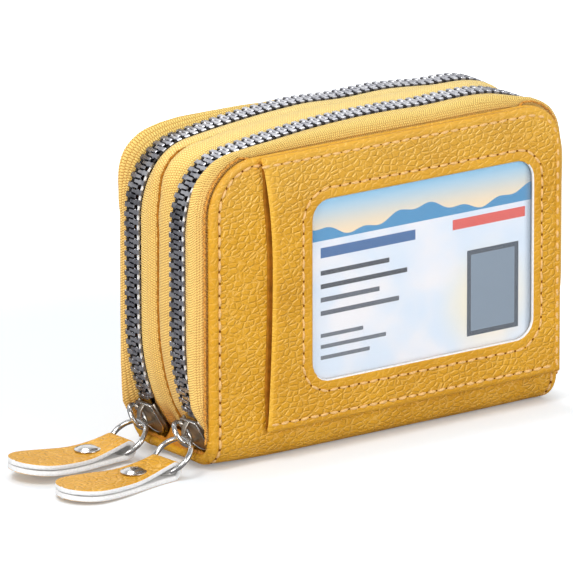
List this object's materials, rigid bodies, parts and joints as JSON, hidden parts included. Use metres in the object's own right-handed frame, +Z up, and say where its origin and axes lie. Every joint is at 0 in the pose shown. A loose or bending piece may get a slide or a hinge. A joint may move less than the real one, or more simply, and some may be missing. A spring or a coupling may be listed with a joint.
{
  "type": "card wallet",
  "caption": "Leather card wallet with zipped compartments round the sides and top, a windowed card pocket, folding card partitions and leather zip pulls on rings.",
  "frame": {"origin": "middle of the folded bottom, on the plane that the wallet stands on", "axes": "+X along the wallet's length, away from the zip pulls; -Y out of the front with the card window; +Z up"},
  "size_m": [0.1538, 0.0374, 0.0825],
  "materials": {
    "leather": "pebbled mustard-yellow leather",
    "tape": "woven zip tape in a lighter yellow",
    "lining": "smooth lining cloth",
    "board": "stiffening board inside the cover",
    "teeth": "dark nickel zip teeth",
    "nickel": "polished nickel",
    "film": "clear flexible window",
    "card": "printed plastic card"
  },
  "bodies": {
    "core": {"spine": "leather", "middle_divider": "leather", "divider_slip_pocket": "lining", "front_inner_tape": "tape", "front_inner_teeth": "teeth", "front_bottom_stop": "nickel", "rear_inner_tape": "tape", "rear_inner_teeth": "teeth", "rear_bottom_stop": "nickel", "front_left_gusset": "lining", "front_right_gusset": "lining", "rear_left_gusset": "lining", "rear_right_gusset": "lining"},
    "front_cover": {"front_cover": "leather", "front_board": "board", "front_lining": "lining", "id_pocket_panel": "leather", "window_film": "film", "front_outer_tape": "tape", "front_outer_teeth": "teeth"},
    "back_cover": {"back_cover": "leather", "back_board": "board", "back_lining": "lining", "rear_outer_tape": "tape", "rear_outer_teeth": "teeth"},
    "id_card": {"insert_card": "card"},
    "card_partition_1": {"card_partition_1": "lining"},
    "card_partition_2": {"card_partition_2": "lining"},
    "card_partition_3": {"card_partition_3": "lining"},
    "card_partition_4": {"card_partition_4": "lining"},
    "card_partition_5": {"card_partition_5": "lining"},
    "front_slider": {"front_slider": "nickel"},
    "front_link_ring": {"front_link_ring": "nickel"},
    "front_pull_ring": {"front_pull_ring": "nickel"},
    "front_pull_tab": {"front_pull_tab": "leather", "front_rivet": "nickel"},
    "rear_slider": {"rear_slider": "nickel"},
    "rear_link_ring": {"rear_link_ring": "nickel"},
    "rear_pull_ring": {"rear_pull_ring": "nickel"},
    "rear_pull_tab": {"rear_pull_tab": "leather", "rear_rivet": "nickel"}
  },
  "joints": [
    {"name": "front_cover_hinge", "type": "hinge", "parent": "core", "child": "front_cover", "pos_m": [0, -0.0093, 0], "axis": [1, 0, 0], "range_deg": [0, 70], "deforming": ["front_left_gusset", "front_right_gusset"]},
    {"name": "back_cover_hinge", "type": "hinge", "parent": "core", "child": "back_cover", "pos_m": [0, 0.0093, 0], "axis": [-1, 0, 0], "range_deg": [0, 70], "deforming": ["rear_left_gusset", "rear_right_gusset"]},
    {"name": "id_card_slide", "type": "slide", "parent": "front_cover", "child": "id_card", "axis": [-1, 0, 0], "range_m": [0, 0.088]},
    {"name": "card_partition_1_fold", "type": "hinge", "parent": "core", "child": "card_partition_1", "pos_m": [0, -0.00396, 0.0024], "axis": [1, 0, 0], "range_deg": [0, 12]},
    {"name": "card_partition_2_fold", "type": "hinge", "parent": "core", "child": "card_partition_2", "pos_m": [0, -0.00582, 0.0024], "axis": [1, 0, 0], "range_deg": [0, 24]},
    {"name": "card_partition_3_fold", "type": "hinge", "parent": "core", "child": "card_partition_3", "pos_m": [0, -0.00768, 0.0024], "axis": [1, 0, 0], "range_deg": [0, 36]},
    {"name": "card_partition_4_fold", "type": "hinge", "parent": "core", "child": "card_partition_4", "pos_m": [0, -0.00953, 0.0024], "axis": [1, 0, 0], "range_deg": [0, 47]},
    {"name": "card_partition_5_fold", "type": "hinge", "parent": "core", "child": "card_partition_5", "pos_m": [0, -0.01139, 0.0024], "axis": [1, 0, 0], "range_deg": [0, 59]},
    {"name": "front_slider_travel", "type": "hinge", "parent": "core", "child": "front_slider", "pos_m": [-0.0062, -0.0093, 0.0338], "axis": [0, 1, 0], "range_deg": [0, 28], "deforming": ["front_outer_teeth", "front_inner_teeth"]},
    {"name": "front_link_swing", "type": "hinge", "parent": "front_slider", "child": "front_link_ring", "pos_m": [-0.05432, -0.00894, 0.00882], "axis": [0, 1, 0], "range_deg": [-15, 10]},
    {"name": "front_pull_ring_swing", "type": "hinge", "parent": "front_link_ring", "child": "front_pull_ring", "pos_m": [-0.05723, -0.0114, 0.00865], "axis": [-0.1219, 0.9925, 0], "range_deg": [-38, 60]},
    {"name": "front_tab_swing", "type": "hinge", "parent": "front_pull_ring", "child": "front_pull_tab", "pos_m": [-0.06403, -0.01182, 0.00255], "axis": [-0.1219, 0.9925, 0], "range_deg": [-30, 3]},
    {"name": "rear_slider_travel", "type": "hinge", "parent": "core", "child": "rear_slider", "pos_m": [-0.0062, 0.0093, 0.0338], "axis": [0, 1, 0], "range_deg": [0, 28], "deforming": ["rear_outer_teeth", "rear_inner_teeth"]},
    {"name": "rear_link_swing", "type": "hinge", "parent": "rear_slider", "child": "rear_link_ring", "pos_m": [-0.05432, 0.00966, 0.00882], "axis": [0, 1, 0], "range_deg": [-15, 10]},
    {"name": "rear_pull_ring_swing", "type": "hinge", "parent": "rear_link_ring", "child": "rear_pull_ring", "pos_m": [-0.05723, 0.0072, 0.00865], "axis": [-0.0785, 0.9969, 0], "range_deg": [-38, 60]},
    {"name": "rear_tab_swing", "type": "hinge", "parent": "rear_pull_ring", "child": "rear_pull_tab", "pos_m": [-0.06404, 0.00708, 0.00255], "axis": [-0.0785, 0.9969, 0], "range_deg": [-30, 3]}
  ],
  "couplings": [
    {"joint": "card_partition_1_fold", "follows": "front_cover_hinge", "ratio": 0.16667},
    {"joint": "card_partition_2_fold", "follows": "front_cover_hinge", "ratio": 0.33333},
    {"joint": "card_partition_3_fold", "follows": "front_cover_hinge", "ratio": 0.5},
    {"joint": "card_partition_4_fold", "follows": "front_cover_hinge", "ratio": 0.66667},
    {"joint": "card_partition_5_fold", "follows": "front_cover_hinge", "ratio": 0.83333}
  ]
}
